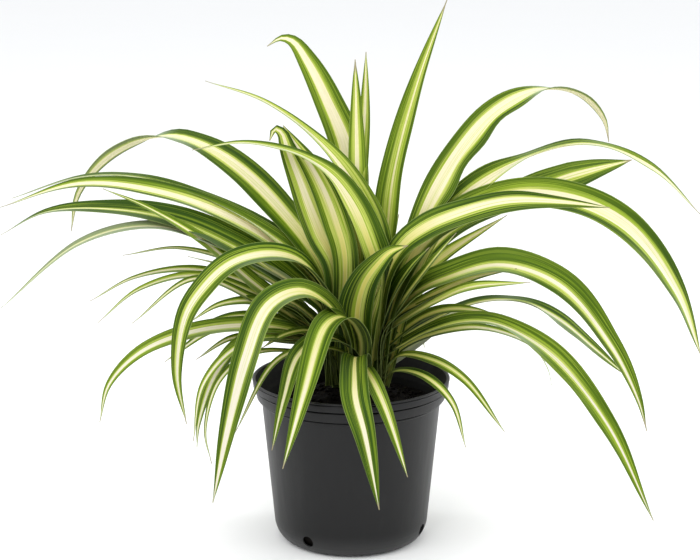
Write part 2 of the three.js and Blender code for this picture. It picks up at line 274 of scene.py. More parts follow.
def height_of(place):
    """How high a place lies, in metres."""
    return add_node(place.id_data, "ShaderNodeSeparateXYZ", {"Vector": place}).outputs["Z"]


def new_material(name):
    """A material with its own shader, and the tree and shader to build on."""
    material = bpy.data.materials.new(name)
    material.use_nodes = True
    tree = material.node_tree
    return material, tree, tree.nodes["Principled BSDF"]


def finish_surface(shader, colour, rough, relief, bump, gloss):
    """Links colour, roughness and relief to the shader. bump is the relief's (strength, depth in m)."""
    inputs = {"Strength": bump[0], "Distance": bump[1], "Height": relief}
    normal = add_node(shader.id_data, "ShaderNodeBump", inputs).outputs["Normal"]
    for name, socket in (("Base Color", colour), ("Roughness", rough), ("Normal", normal)):
        shader.id_data.links.new(socket, shader.inputs[name])
    shader.inputs["Specular IOR Level"].default_value = gloss


print("node helpers ready")

# %% [markdown]
# ## A shared effect: fine mottling
# Plastic, soil, leaf and floor all carry a faint uneven tone. It is one node group with a scale and a
# strength. It puts out a tone round 1 that multiplies a colour, and a height for a Bump node.

# %% Mottling group
FINER = 9.0
WIDE_SHARE, FINE_SHARE = 0.65, 0.35


def mottling_group():
    """Two noises, one nine times finer, as a tone round 1 and as a height."""
    group = bpy.data.node_groups.new("fine_mottling", "ShaderNodeTree")
    group.interface.new_socket("Place", in_out="INPUT", socket_type="NodeSocketVector")
    for name, way in (("Scale", "INPUT"), ("Strength", "INPUT"), ("Tone", "OUTPUT"), ("Height", "OUTPUT")):
        group.interface.new_socket(name, in_out=way, socket_type="NodeSocketFloat")
    given = add_node(group, "NodeGroupInput").outputs
    wide = grain_field(given["Place"], given["Scale"], 2.0)
    fine = grain_field(given["Place"], times(given["Scale"], FINER), 3.0)
    both = calculate("ADD", times(wide, WIDE_SHARE), times(fine, FINE_SHARE))
    tone = scaled(scaled(both, 2.0, -1.0), given["Strength"], 1.0)
    add_node(group, "NodeGroupOutput", {"Tone": tone, "Height": both})
    return group


MOTTLING = mottling_group()


def mottle(place, scale, strength):
    """Places the shared group in a material."""
    inputs = {"Place": place, "Scale": scale, "Strength": strength}
    node = add_node(place.id_data, "ShaderNodeGroup", inputs, node_tree=MOTTLING)
    return node.outputs["Tone"], node.outputs["Height"]


print("mottling group ready")

# %% Floor material
FLOOR_COLOUR = (0.9, 0.9, 0.9, 1)
FLOOR_MOTTLING = (3.0, 0.01)
FLOOR_ROUGHNESS = 0.9
FLOOR_GLOSS = 0.1


def floor_material():
    """Pale matt board."""
    material, tree, shader = new_material("floor_board")
    tone, _ = mottle(object_place(tree), *FLOOR_MOTTLING)
    tree.links.new(toned(FLOOR_COLOUR, tone), shader.inputs["Base Color"])
    shader.inputs["Roughness"].default_value = FLOOR_ROUGHNESS
    shader.inputs["Specular IOR Level"].default_value = FLOOR_GLOSS
    return material


floor.data.materials.append(floor_material())
print("floor dressed")

# %% [markdown]
# ## The grower pot
# The real pot is thin moulded plastic: a tapering wall, a rounded foot and two stepped bands at the rim.
# A round thing like this is drawn as half a section and spun about Z. The section starts as one point of
# a plane and grows by extrusion, one corner at a time, so every corner has a real size.

# %% Pot section
# Corners as (radius, height) in mm, from the underside up the outside, over the rim and down the inside.
POT_SECTION = [
    (49, 0), (51.2, 0.6), (53.6, 2.1), (55.9, 4.6), (57.4, 7), (58.5, 9.8), (59.3, 13),
    (68.7, 109.2), (69.9, 110.1), (69.9, 110.9), (69.1, 111.1), (69.1, 112.2), (72, 112.3), (72.4, 112.9),
    (73.7, 119.2), (73.4, 119.7), (71.7, 119.8), (71.7, 120.8), (74.8, 120.9), (75.2, 121.4),
    (75.6, 125.6), (75.2, 126), (74.7, 126.1), (74.7, 126.6), (75.8, 126.8), (76, 127.3), (75.5, 128),
    (74.2, 128), (73.2, 127), (70.5, 120.5), (68.9, 113.5), (67.2, 110.5), (58, 13), (57.2, 9.3),
    (55, 5.7), (52.2, 3.2), (49, 2.4),
]
FLOOR_HEIGHT = 2.4
POT_TURNS = 144
SECTION_ROUNDING = 0.22
WELD_DISTANCE = 0.02
POT_CREASE = 32


def grow_section(name, corners):
    """A chain of edges through the corners, each (radius, height) in mm, in the XZ plane."""
    clear_selection()
    bpy.ops.mesh.primitive_plane_add(size=MM)
    piece = bpy.context.object
    piece.name = name
    bpy.ops.object.mode_set(mode="EDIT")
    bpy.ops.mesh.select_all(action="SELECT")
    bpy.ops.mesh.merge(type="CENTER")
    start = Vector((corners[0][0] * MM, 0, corners[0][1] * MM))
    bpy.ops.transform.translate(value=start)
    for before, after in zip(corners, corners[1:]):
        step = ((after[0] - before[0]) * MM, 0, (after[1] - before[1]) * MM)
        bpy.ops.mesh.extrude_region_move(TRANSFORM_OT_translate={"value": step})
    return piece


def spin_section(piece, turns):
    """Spins the chain once about Z and closes the seam."""
    bpy.ops.mesh.select_all(action="SELECT")
    bpy.ops.mesh.spin(steps=turns, angle=2 * math.pi, center=(0, 0, 0), axis=(0, 0, 1))
    bpy.ops.mesh.select_all(action="SELECT")
    bpy.ops.mesh.remove_doubles(threshold=WELD_DISTANCE * MM)
    bpy.ops.mesh.normals_make_consistent(inside=False)


pot = grow_section("grower_pot", [(0, 0)] + POT_SECTION + [(0, FLOOR_HEIGHT)])
select_vertices(pot, lambda co: co.x > MM)
bpy.ops.mesh.bevel(offset=SECTION_ROUNDING * MM, segments=2, affect="VERTICES", clamp_overlap=True)
spin_section(pot, POT_TURNS)
bpy.ops.object.mode_set(mode="OBJECT")
print("pot spun:", len(pot.data.polygons), "faces")

# %% [markdown]
# ### The drain holes
# Three round holes sit low in the wall, just over the rounded foot, where the part has them. Each is cut
# by a short cylinder that points outward and down. A Boolean modifier makes the cut, applied at once.

# %% Drain holes
# Angles and tilt in degrees, lengths in mm. The centre is (radius, height).
DRAIN_ANGLES = (-124, -22, 107)
DRAIN_TILT = 14
DRAIN_RADIUS = 4.7
DRAIN_LENGTH = 30
DRAIN_SIDES = 32
DRAIN_CENTRE = (56, 11.6)


def cut_drain(angle):
    """One drain hole at the angle about Z."""
    clear_selection()
    bpy.ops.mesh.primitive_cylinder_add(
        vertices=DRAIN_SIDES, radius=DRAIN_RADIUS * MM, depth=DRAIN_LENGTH * MM
    )
    cutter = bpy.context.object
    turn = Matrix.Rotation(math.radians(angle), 4, "Z")
    place = Matrix.Translation((DRAIN_CENTRE[0] * MM, 0, DRAIN_CENTRE[1] * MM))
    cutter.matrix_world = turn @ place @ Matrix.Rotation(math.radians(90 + DRAIN_TILT), 4, "Y")
    cut = pot.modifiers.new("drain", "BOOLEAN")
    cut.object = cutter
    cut.operation = "DIFFERENCE"
    cut.solver = "EXACT"
    apply_modifiers(pot)
    bpy.data.objects.remove(cutter)


for drain_angle in DRAIN_ANGLES:
    cut_drain(drain_angle)
smooth_shade(pot, POT_CREASE)
print("pot with drain holes:", len(pot.data.polygons), "faces")

# %% [markdown]
# ### Black plastic
# The plastic is nearly black with a satin skin. Its roughness and height vary a little, with faint
# upright drag marks where the pot left its mould. Thin dust lies on it in patches. The foot is painted
# lighter towards the floor, painted light on the low wall. The inside and the bores of the drain holes are
# marked on their faces; they are duller, and painted shade darkens them.

# %% Pot material
# The inside is whatever lies nearer the axis than this, as (height, radius).
INSIDE_LIMITS = [(2, 40), (3, 53), (13, 58.2), (110.5, 67.5), (113.5, 69.2), (120.5, 70.8), (127, 73.4)]
BORE_MARGIN = 0.1
POT_BLACK = (0.0045, 0.0045, 0.0047, 1)
POT_DUST = (0.04, 0.039, 0.038, 1)
# Painted light: a lighter grey laid on the foot, where the wall faces the floor.
FOOT_PAINTED_LIGHT = (0.05, 0.05, 0.05, 1)
POT_MOTTLING = (55.0, 0.22)
DRAG_MARKS = (0.06, 260.0, 4.0, 0.55)
DUST_PATCHES = (0.5, 34.0, 5.0, 0.65)
# A ramp is its low and high limit, then what it gives at each.
DUST_RAMP = (0.56, 0.8, 0, 0.14)
FOOT_LIGHT_RAMP = (0.004, 0.02, 0.55, 0)
# Painted shade darkens the inside and the drain bores by the first share; the second makes them duller.
INSIDE_PAINTED_SHADE, INSIDE_DULLER = 0.75, 0.4
POT_ROUGHNESS, DRAG_ROUGHNESS, DRAG_RELIEF = 0.36, 0.16, 0.5
POT_BUMP = (0.12, 0.0006)
POT_GLOSS = 0.28


def upright_grain(place, stretch, scale, detail, roughness):
    """Noise drawn out along Z: the less the stretch, the longer its marks."""
    inputs = {"Vector": place, "Scale": (1, 1, stretch)}
    drawn_out = add_node(place.id_data, "ShaderNodeMapping", inputs).outputs[0]
    return grain_field(drawn_out, scale, detail, roughness)


def pot_material():
    """Satin black moulded plastic."""
    material, tree, shader = new_material("black_pot_plastic")
    place = object_place(tree)
    inside = read_attribute(tree, "pot_inside")
    tone, height = mottle(place, *POT_MOTTLING)
    drag = upright_grain(place, *DRAG_MARKS)
    # Painted shade on the inside and in the drain bores.
    black = toned(POT_BLACK, times(tone, scaled(inside, -INSIDE_PAINTED_SHADE, 1.0)))
    dust = ramp(upright_grain(place, *DUST_PATCHES), *DUST_RAMP)
    # Painted light, growing towards the foot.
    foot = ramp(height_of(place), *FOOT_LIGHT_RAMP)
    colour = blend_colour(foot, blend_colour(dust, black, POT_DUST), FOOT_PAINTED_LIGHT)
    rough = scaled(inside, INSIDE_DULLER, scaled(drag, DRAG_ROUGHNESS, POT_ROUGHNESS))
    relief = scaled(drag, DRAG_RELIEF, height)
    finish_surface(shader, colour, rough, relief, POT_BUMP, POT_GLOSS)
    return material


def mark_inside(piece):
    """Notes 1 on the faces of the pot's inside and of its drain holes, 0 elsewhere."""
    places = np.array([face.center for face in piece.data.polygons]) / MM
    limits = np.interp(places[:, 2], *zip(*INSIDE_LIMITS))
    inside = np.hypot(places[:, 0], places[:, 1]) < limits
    tilt = math.radians(DRAIN_TILT)
    for angle in map(math.radians, DRAIN_ANGLES):
        outward = np.array([math.cos(angle), math.sin(angle), 0])
        centre = outward * DRAIN_CENTRE[0] + [0, 0, DRAIN_CENTRE[1]]
        bore = outward * math.cos(tilt) - [0, 0, math.sin(tilt)]
        off = np.linalg.norm(np.cross(places - centre, bore), axis=1)
        inside |= (off < DRAIN_RADIUS + BORE_MARGIN) & (places @ outward > 0)
    note(piece.data, "pot_inside", inside, "FACE")


mark_inside(pot)
pot.data.materials.append(pot_material())
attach(pot, "root")
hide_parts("pot")
print("pot dressed")

# %% [markdown]
# ## The potting soil
# The mix fills the pot to about 20 mm under the rim and heaps a little round the clump. It is one closed
# body, spun like the pot: its section climbs the pot's inside and runs inward in many small steps. The
# heights come from the part's own mound formula and from two sizes of noise for the crumbly top.

# %% Soil body
SOIL_EDGE_HEIGHT = 105
MOUND_HEIGHT = 15
MOUND_RADIUS = 52
MOUND_FALLOFF = 2.2
SOIL_EDGE_RADIUS = 66.4
SOIL_FOOT = [(46, 2.8), (53.2, 6), (57.3, 13)]
SOIL_TURNS = 120
SOIL_RINGS = 34
SOIL_FADE = 4
SOIL_CREASE = 50
# The crumbly top's two reliefs: height and size in mm, and the level at which their noise is read.
SOIL_RELIEFS = [(1.5, 9, 3), (0.8, 2.6, 8)]


def mound(radius):
    """How far the heap stands over the soil's edge, in mm."""
    return MOUND_HEIGHT * math.exp(-((radius / MOUND_RADIUS) ** 4) * MOUND_FALLOFF)


def soil_height(x, y):
    """The soil's surface in mm, with lumps and grains that fade out at the pot's wall."""
    radius = math.hypot(x, y)
    fade = min(1.0, max(0.0, (SOIL_EDGE_RADIUS - radius) / SOIL_FADE))
    relief = sum(high * noise.noise(Vector((x, y, level)) / size) for high, size, level in SOIL_RELIEFS)
    return SOIL_EDGE_HEIGHT + mound(radius) + relief * fade


def soil_body():
    """The closed body of soil."""
    rings = SOIL_FOOT + [
        (SOIL_EDGE_RADIUS * (1 - ring / SOIL_RINGS), SOIL_EDGE_HEIGHT) for ring in range(SOIL_RINGS)
    ]
    piece = grow_section("soil", [(0, SOIL_FOOT[0][1])] + rings + [(0, SOIL_EDGE_HEIGHT)])
    spin_section(piece, SOIL_TURNS)
    shape = bmesh.from_edit_mesh(piece.data)
    for vertex in shape.verts:
        if vertex.co.z > (SOIL_EDGE_HEIGHT - 1) * MM:
            vertex.co.z = soil_height(vertex.co.x / MM, vertex.co.y / MM) * MM
    bmesh.update_edit_mesh(piece.data)
    bpy.ops.object.mode_set(mode="OBJECT")
    return piece


soil = soil_body()
print("soil body:", len(soil.data.polygons), "faces")

# %% [markdown]
# ### Crumbs
# Loose crumbs and slivers of bark lie on the heap. One low icosphere is the pattern. Each copy has its
# own mesh, is squashed and turned by a seeded draw, and is sunk nearly halfway into the surface.

# %% Soil crumbs
CRUMB_SEED = 4127
CRUMB_COUNT = 520
CRUMB_SIZE = (0.7, 2.3)
CRUMB_SHRINK = 0.4
CRUMB_SPREAD = 0.95
CRUMB_SQUASH = ((0.7, 1), (0.5, 0.9))
CRUMB_TILT = 0.4
CRUMB_LIFT = 0.15
CRUMB_ROUGHNESS, CRUMB_BUMPS = 0.5, 1.7
BARK_SHARE = 0.12
BARK_STRETCH = (2.6, 0.7, 0.45)


def crumb_pattern():
    """One rough crumb, 1 unit in radius, about the origin."""
    clear_selection()
    bpy.ops.mesh.primitive_ico_sphere_add(subdivisions=2, radius=1)
    piece = bpy.context.object
    for vertex in piece.data.vertices:
        vertex.co *= 1 + CRUMB_ROUGHNESS * noise.noise(vertex.co * CRUMB_BUMPS)
    return piece


def scatter_crumbs(pattern):
    """Copies of the crumb on the soil, joined to it."""
    draw = random.Random(CRUMB_SEED)
    pieces = [soil]
    for _ in range(CRUMB_COUNT):
        radius = SOIL_EDGE_RADIUS * math.sqrt(draw.uniform(0.0, CRUMB_SPREAD))
        angle = draw.uniform(0, 2 * math.pi)
        x, y = radius * math.cos(angle), radius * math.sin(angle)
        size = draw.uniform(*CRUMB_SIZE) * (1 - CRUMB_SHRINK * draw.random())
        stretch = BARK_STRETCH
        if draw.random() >= BARK_SHARE:
            stretch = [1] + [draw.uniform(*limits) for limits in CRUMB_SQUASH]
        turn = Matrix.Rotation(draw.uniform(0, 2 * math.pi), 4, "Z")
        tilt = Matrix.Rotation(draw.uniform(-CRUMB_TILT, CRUMB_TILT), 4, "X")
        place = Matrix.Translation(Vector((x, y, soil_height(x, y) + CRUMB_LIFT * size)) * MM)
        shrink = Matrix.Diagonal([part * size * MM for part in stretch] + [1])
        crumb = own_copy(pattern)
        crumb.data.transform(place @ (turn @ tilt) @ shrink)
        pieces.append(crumb)
    bpy.data.objects.remove(pattern)
    return join_pieces(pieces, "soil")


soil = scatter_crumbs(crumb_pattern())
smooth_shade(soil, SOIL_CREASE)
print("soil with crumbs:", len(soil.data.polygons), "faces")

# %% Soil material
SOIL_DARK = (0.0028, 0.0019, 0.0014, 1)
SOIL_FLECK = (0.03, 0.02, 0.012, 1)
SOIL_MOTTLING = (90.0, 0.6)
FLECK_SCALE, FLECK_LIMITS, FLECK_SHARE = 420.0, (0.62, 0.74), 0.5
SOIL_ROUGHNESS, RELIEF_ROUGHNESS = 0.78, 0.2
SOIL_BUMP = (0.7, 0.0012)
SOIL_GLOSS = 0.08


def soil_material():
    """Moist, nearly black potting mix."""
    material, tree, shader = new_material("potting_mix")
    place = object_place(tree)
    tone, height = mottle(place, *SOIL_MOTTLING)
    flecks = ramp(grain_field(place, FLECK_SCALE, 2.0), *FLECK_LIMITS)
    dark = toned(SOIL_DARK, tone)
    colour = blend_colour(times(flecks, FLECK_SHARE), dark, SOIL_FLECK)
    rough = scaled(height, RELIEF_ROUGHNESS, SOIL_ROUGHNESS)
    finish_surface(shader, colour, rough, height, SOIL_BUMP, SOIL_GLOSS)
    return material


soil.data.materials.append(soil_material())
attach(soil, "root")
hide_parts("potting_soil")
print("soil dressed")

# %% [markdown]
# ## One leaf blade, modelled once
# A leaf is a long strap, folded along its midrib. It starts as a grid that is 2 wide and 1 long. The
# columns next to each margin are pushed outward, so that the thin edge stays crisp, and Solidify gives
# it two faces and a rim. Every leaf is a copy of it, bent along its own route.

# %% Blade pattern
BLADE_COLUMNS = 12
BLADE_ROWS = 60
MARGIN_COLUMN = 1 - 2 / BLADE_COLUMNS
MARGIN_PUSH = 1.14
COLUMN_TOLERANCE = 0.01


def blade_pattern():
    """The flat pattern: x from -1 to 1 across, y from 0 to 1 along, z half a unit up and down."""
    clear_selection()
    bpy.ops.mesh.primitive_grid_add(x_subdivisions=BLADE_COLUMNS, y_subdivisions=BLADE_ROWS, size=2)
    piece = bpy.context.object
    bpy.ops.object.mode_set(mode="EDIT")
    bpy.ops.mesh.select_all(action="SELECT")
    bpy.ops.transform.resize(value=(1, 0.5, 1))
    bpy.ops.transform.translate(value=(0, 0.5, 0))
    select_vertices(piece, lambda co: abs(abs(co.x) - MARGIN_COLUMN) < COLUMN_TOLERANCE)
    bpy.ops.transform.resize(value=(MARGIN_PUSH, 1, 1), center_override=(0, 0.5, 0))
    bpy.ops.object.mode_set(mode="OBJECT")
    wall = piece.modifiers.new("two_faces", "SOLIDIFY")
    wall.thickness = 1
    wall.offset = 0
    apply_modifiers(piece)
    return piece


pattern = blade_pattern()
pattern_points = np.array([vertex.co for vertex in pattern.data.vertices])
print("blade pattern:", len(pattern.data.polygons), "faces")

# %% [markdown]
# ## Where every leaf goes
# The leaves are rooted in five short crowns and spread in a fan. Each row below is one leaf as it stands
# in the part: a label, the compass angle of its plane in degrees, the midrib's [reach, height] stations
# in mm, the full width and the roll about the midrib, or the rolls from root to tip. Where it isn't the
# plain one, the outline follows: [share of the width at the root, where it is widest, tip taper]. Last,
# where there is one, comes the turn of the plane from root to tip. L5, the upright leaf whose tip curls
# over, narrows sooner here than in the part.

# %% Leaf table
PLAIN = [0.75, 0.45, 1.7]
EARLY = [0.75, 0.3, 1.2]
LATE = [0.7, 0.65, 1.7]
MIDDLE_LEAVES = [
    ["L3a", 80, [[4, 220], [9, 286], [27, 329], [31, 373]], 12, 0, [0.75, 0.45, 3]],
    ["L3b", 100, [[4, 215], [8, 286], [13, 331], [17, 369]], 15, 0, [0.75, 0.45, 3]],
    ["L4", 180, [[-8, 190], [-13, 236], [14, 292], [68, 338], [115, 355]], 23,
     [-60, -70, -62, -18, -15], EARLY],
]
LEFT_LEAVES = [
    ["L5", 182, [[-3, 214], [9, 240], [24, 279], [34, 305], [38, 317], [43, 320], [47, 311]], 26,
     -70, [0.75, 0.45, 2.6]],
    ["U1", 176, [[-9, 221], [-2, 249], [7, 273], [17, 292], [28, 308], [37, 322]], 21, -70, [0.75, 0.5, 3]],
    ["A", 160, [[5, 205], [38, 251], [90, 293], [135, 306], [182, 290], [214, 257], [222, 225]], 23,
     [-55, -55, -55, -55, -50, -20, 30, 38, 45]],
    ["B1", 172, [[6, 199], [30, 225], [63, 248], [105, 267], [150, 279], [195, 278], [250, 260]], 20,
     [-45, -35, -8, -5, -20], [0.8, 0.35, 1.3]],
    ["B2", 178, [[6, 188], [25, 217], [75, 251], [130, 271], [190, 277], [253, 258]], 20,
     [-35, -35, -35, -20]],
    ["C", 185, [[6, 180], [33, 203], [70, 230], [115, 252], [165, 262], [215, 260], [249, 243]], 26,
     [-40, -40, -38, -5], [0.8, 0.4, 1.5]],
    ["D", 190, [[10, 165], [57, 200], [100, 239], [140, 265], [172, 280]], 15, -40, [0.7, 0.45, 1.3]],
    ["E", 188, [[15, 185], [70, 225], [135, 249], [190, 238], [250, 190]], 14, [-25, -20]],
    ["F", 182, [[17, 176], [63, 212], [115, 229], [159, 224]], 9, -20],
    ["Fb", 180, [[10, 168], [40, 188], [80, 213], [110, 222]], 7, -20],
    ["N1", 172, [[12, 170], [60, 196], [110, 208], [155, 200], [191, 180]], 10, -30],
    ["N2", 178, [[12, 165], [60, 192], [105, 206], [148, 195], [181, 168]], 10, -30],
    ["N3", 184, [[12, 161], [60, 189], [105, 206], [153, 172]], 9, -30],
    ["L13", 212, [[2, 184], [11, 202], [29, 221], [55, 230], [87, 227], [110, 212], [126, 192],
     [134, 150], [127, 110]], 21, [-20, -40]],
    ["Ma", 187, [[12, 156], [50, 186], [85, 187], [109, 174]], 13, -30],
    ["Mb", 190, [[8, 153], [33, 170], [75, 178], [111, 169]], 13, -30],
    ["Mb2", 196, [[9, 150], [45, 168], [90, 172], [131, 149]], 13, -30],
    ["M1", 205, [[7, 153], [60, 173], [115, 175], [156, 164], [180, 143], [188, 115]], 17, -30],
    ["Mc", 200, [[9, 149], [42, 160], [80, 165], [109, 151]], 10, -30],
    ["I1", 196, [[6, 153], [30, 184], [53, 190], [66, 183]], 16, -30],
    ["S1", 218, [[5, 151], [20, 166], [45, 168], [67, 161]], 9, [-20, -30]],
    ["I4", 200, [[8, 163], [22, 180], [38, 191], [58, 196]], 14, -30],
    ["F7", 214, [[4, 146], [40, 164], [80, 166], [105, 144], [119, 110], [121, 92]], 15, -20],
    ["F7b", 217, [[4, 142], [40, 162], [85, 166], [118, 142], [128, 100]], 9, -20],
    ["F7c", 219, [[4, 139], [41, 154], [79, 158], [108, 142], [120, 108], [115, 81]], 6, -20],
]
RIGHT_LEAVES = [
    ["L6", 187, [[6, 180], [5, 212], [12, 237], [23, 263], [39, 285], [57, 298], [76, 306],
     [109, 312], [145, 307]], 23, [-60, -75, -65, -15, -15], [0.75, 0.35, 1.3]],
    ["R1", 25, [[17, 210], [48, 276], [89, 323], [132, 341], [170, 334], [191, 314], [196, 296]], 24,
     [45, 45, 45, 45, 40, -20, -50], [0.35, 0.5, 1.7]],
    ["R2", 18, [[30, 228], [75, 274], [160, 300], [220, 279], [265, 238]], 20,
     [50, 50, 50, 42, -2, 10, 42, 45], [0.85, 0.3, 2.3]],
    ["R3", -5, [[0, 200], [13, 229], [30, 243], [56, 255], [90, 265], [131, 266], [168, 263]], 24,
     [40, 50], [0.4, 0.5, 1.7]],
    ["R4", 35, [[14, 186], [52, 229], [111, 251], [173, 263], [250, 271]], 23, [40, 45, 60],
     [0.35, 0.8, 1.3]],
    ["R5", 8, [[4, 180], [27, 228], [57, 253], [119, 267], [184, 243], [229, 188], [251, 135]], 27,
     [30, 35, 50, 60, 60], [0.75, 0.6, 2.4]],
    ["R6", -12, [[-1, 165], [12, 183], [27, 198], [46, 208], [88, 221], [133, 208], [173, 163],
     [194, 122], [201, 97]], 26, [35, 30, 45, 60]],
    ["R6b", -25, [[3, 162], [21, 178], [45, 193], [69, 205], [117, 214]], 14, 30],
    ["R7", 20, [[4, 148], [70, 178], [113, 177], [148, 159], [180, 132], [209, 107]], 16,
     [20, 0, 0, 50, 60], LATE],
    ["R8", -20, [[-1, 142], [16, 155], [36, 167], [60, 176], [83, 178], [107, 171], [135, 154],
     [175, 108], [212, 37]], 22, [30, 20, 10, 35, 50, 55], [0.5, 0.45, 1.7]],
    ["R8b", -5, [[-5, 142], [12, 162], [31, 176], [50, 182], [72, 181], [91, 175]], 12, 30],
    ["R9", -38, [[12, 145], [45, 148], [75, 138], [111, 105]], 9, [20, 40]],
    ["R10", -52, [[12, 134], [50, 138], [80, 125], [95, 95]], 7.5, [20, 40]],
    ["PG", 28, [[13, 147], [76, 157], [132, 136], [150, 113], [154, 99]], 9, [20, 40]],
    ["IR1", -38, [[-4, 160], [2, 180], [12, 201], [25, 219], [41, 235]], 20, 50],
    ["IR2", 25, [[14, 190], [50, 218], [105, 245]], 13, 40],
    ["IR3", -30, [[3, 169], [16, 190], [31, 211], [45, 229], [60, 247]], 14, 45],
    ["R6c", -15, [[4, 169], [31, 190], [50, 201], [73, 211], [101, 219]], 12, 30],
]
FRONT_LEAVES = [
    ["C1", -8, [[-5, 160], [-6, 178], [-4, 193], [1, 207], [10, 220], [20, 230], [33, 235]], 28,
     [80, 75], [0.85, 0.5, 1.6]],
    ["F5", 215, [[18, 167], [31, 190], [58, 206], [85, 199], [105, 163], [124, 104], [136, 58]], 25,
     [-45, -35, -15, -35, -40]],
    ["F3", 238, [[7, 162], [28, 184], [55, 183], [83, 140], [112, 90]], 20, [-10, -20]],
    ["F4", 222, [[12, 152], [38, 169], [65, 161], [80, 130], [92, 93]], 15, [-20, -30]],
    ["F6", 208, [[12, 148], [45, 160], [75, 153], [109, 103]], 6, [-20, -30]],
    ["F1", -114, [[12, 145], [34, 155], [66, 135], [83, 112], [99, 60]], 21, 0, PLAIN, 30],
    ["F2", -103, [[15, 141], [40, 145], [68, 126], [87, 79]], 12, 0, PLAIN, 34],
    ["I3", -15, [[1, 153], [5, 175], [10, 191], [13, 204]], 15, 75],
]
BACK_LEAVES = [
    ["L1", 15, [[13, 215], [20, 280], [40, 352], [63, 412]], 19, 60],
    ["L2", 150, [[14, 250], [17, 298], [35, 335], [52, 363], [65, 378], [76, 380], [89, 373]], 27,
     -50, [0.75, 0.45, 2.6]],
    ["BB", 25, [[22, 130], [47, 145], [73, 161], [96, 172]], 10, 60],
    ["T1", 60, [[15, 175], [30, 199], [52, 240]], 8, 10],
]
# Each rosette's crown, the centre of its fan and its leaves, with places as [x, y] in mm.
ROSETTES = {
    "rosette_middle": ([7, 12], [6, 8], MIDDLE_LEAVES),
    "rosette_left": ([-9, 0], [-14, 2], LEFT_LEAVES),
    "rosette_right": ([20, 0], [26, 0], RIGHT_LEAVES),
    "rosette_front": ([4, -17], [10, -14], FRONT_LEAVES),
    "rosette_back": ([13, 33], [12, 28], BACK_LEAVES),
}
print({name: len(rows) for name, (_, _, rows) in ROSETTES.items()})

# %% [markdown]
# ### Leaves on the far side
# The photograph doesn't show the back of the clump. The part spreads nine long drooping leaves there by
# a rule with a seeded draw. The same rule with the same seed gives the same leaves here.

# %% Far leaves
FAR_SEED = 2718281
FAR_COUNT = 9
FAR_ANGLES = (68, 122)
FAR_WIDTH = (14, 23)
FAR_LENGTH = (110, 175)
FAR_CREST = (162, 212)
FAR_TIP = (90, 130)
FAR_ROLL = 6
# Stations: share of the length, then of the crest's height and of the root's height.
FAR_RISE = [(0.08, 0.45, 0.55), (0.3, 0.98, 0.02), (0.55, 1, 0)]
FAR_FALL = (0.82, 0.6, 0.4)
ROOT_REACH = 3
ROOT_HEIGHT = 122
DRAW_FACTOR, DRAW_STEP, DRAW_RANGE = 1664525, 1013904223, 2**32


def seeded_draw(seed):
    """The part's own chain of seeded draws from 0 to 1."""
    state = seed
    while True:
        state = (state * DRAW_FACTOR + DRAW_STEP) % DRAW_RANGE
        yield state / DRAW_RANGE


def far_leaves():
    """Rows for the far side, drawn in the part's order."""
    draws = seeded_draw(FAR_SEED)

    def between(limits):
        return limits[0] + (limits[1] - limits[0]) * next(draws)

    rows = []
    for index in range(FAR_COUNT):
        angle = FAR_ANGLES[0] + (FAR_ANGLES[1] - FAR_ANGLES[0]) * (index + 0.5) / FAR_COUNT
        length, crest, tip = between(FAR_LENGTH), between(FAR_CREST), between(FAR_TIP)
        stations = [[length * along, top * crest + root * ROOT_HEIGHT] for along, top, root in FAR_RISE]
        stations += [[length * FAR_FALL[0], FAR_FALL[1] * crest + FAR_FALL[2] * tip], [length, tip]]
        width = between(FAR_WIDTH)
        rows.append([f"far{index}", angle, stations, width, [0, FAR_ROLL * (2 * next(draws) - 1)]])
    return rows


BACK_LEAVES.extend(far_leaves())
print("far leaves added:", FAR_COUNT)

# %% [markdown]
# ## Bending a blade along its route
# The route is a smooth curve through the stations. It is cut into equal steps of length. At each step
# three arrows say where forward, sideways and the leaf's face point, and the pattern's points are carried
# over. Small seeded waves in the roll and along the margins keep the leaves from looking cut by machine.

# %% Routes
ROUTE_SAMPLES = 400
ROUTE_STEP = 0.004


def eased(value, low=0, high=1):
    """A soft step from 0 to 1 while value goes from low to high."""
    part = np.clip((value - low) / (high - low), 0, 1)
    return part * part * (3 - 2 * part)


def wave(run, length, start):
    """A sine wave of the given length along the run, both in mm."""
    return np.sin(2 * math.pi * run / length + start)


def curve_through(spots):
    """Closely spaced points of a centripetal curve through the spots."""
    spots = np.array(spots, float)
    padded = np.vstack([2 * spots[0] - spots[1], spots, 2 * spots[-1] - spots[-2]])
    last = len(spots) - 1
    points = []
    for sample in range(ROUTE_SAMPLES + 1):
        place = last * sample / ROUTE_SAMPLES
        index = min(int(place), last - 1)
        part = place - index
        before, first, second, after = padded[index:index + 4]
        steps = (first - before, second - first, after - second)
        near, gap, far = [np.linalg.norm(step) ** 0.5 for step in steps]
        leave = steps[0] / near - (second - before) / (near + gap) + steps[1] / gap
        reach = steps[1] / gap - (after - first) / (gap + far) + steps[2] / far
        leave, reach = leave * gap, reach * gap
        square = 3 * (second - first) - 2 * leave - reach
        cube = 2 * (first - second) + leave + reach
        points.append(first + leave * part + square * part**2 + cube * part**3)
    return np.array(points)


def even_steps(points, shares):
    """Points and unit directions at shares of the curve's length, and that length."""
    steps = np.linalg.norm(np.diff(points, axis=0), axis=1)
    run = np.concatenate([[0], np.cumsum(steps)])
    length = run[-1]

    def at(share):
        place = np.clip(share, 0, 1) * length
        return np.array([np.interp(place, run, points[:, axis]) for axis in range(3)]).T

    forward = at(shares + ROUTE_STEP) - at(shares - ROUTE_STEP)
    forward /= np.linalg.norm(forward, axis=1)[:, None]
    return at(shares), forward, length


def share_of_width(along, outline):
    """The leaf's outline: its share of the full width at a share of its length."""
    root, widest, taper = outline
    rise = root + (1 - root) * eased(along, 0, widest)
    fall = np.clip((along - widest) / (1 - widest), 0, 1)
    return np.where(along < widest, rise, 1 - fall**taper)


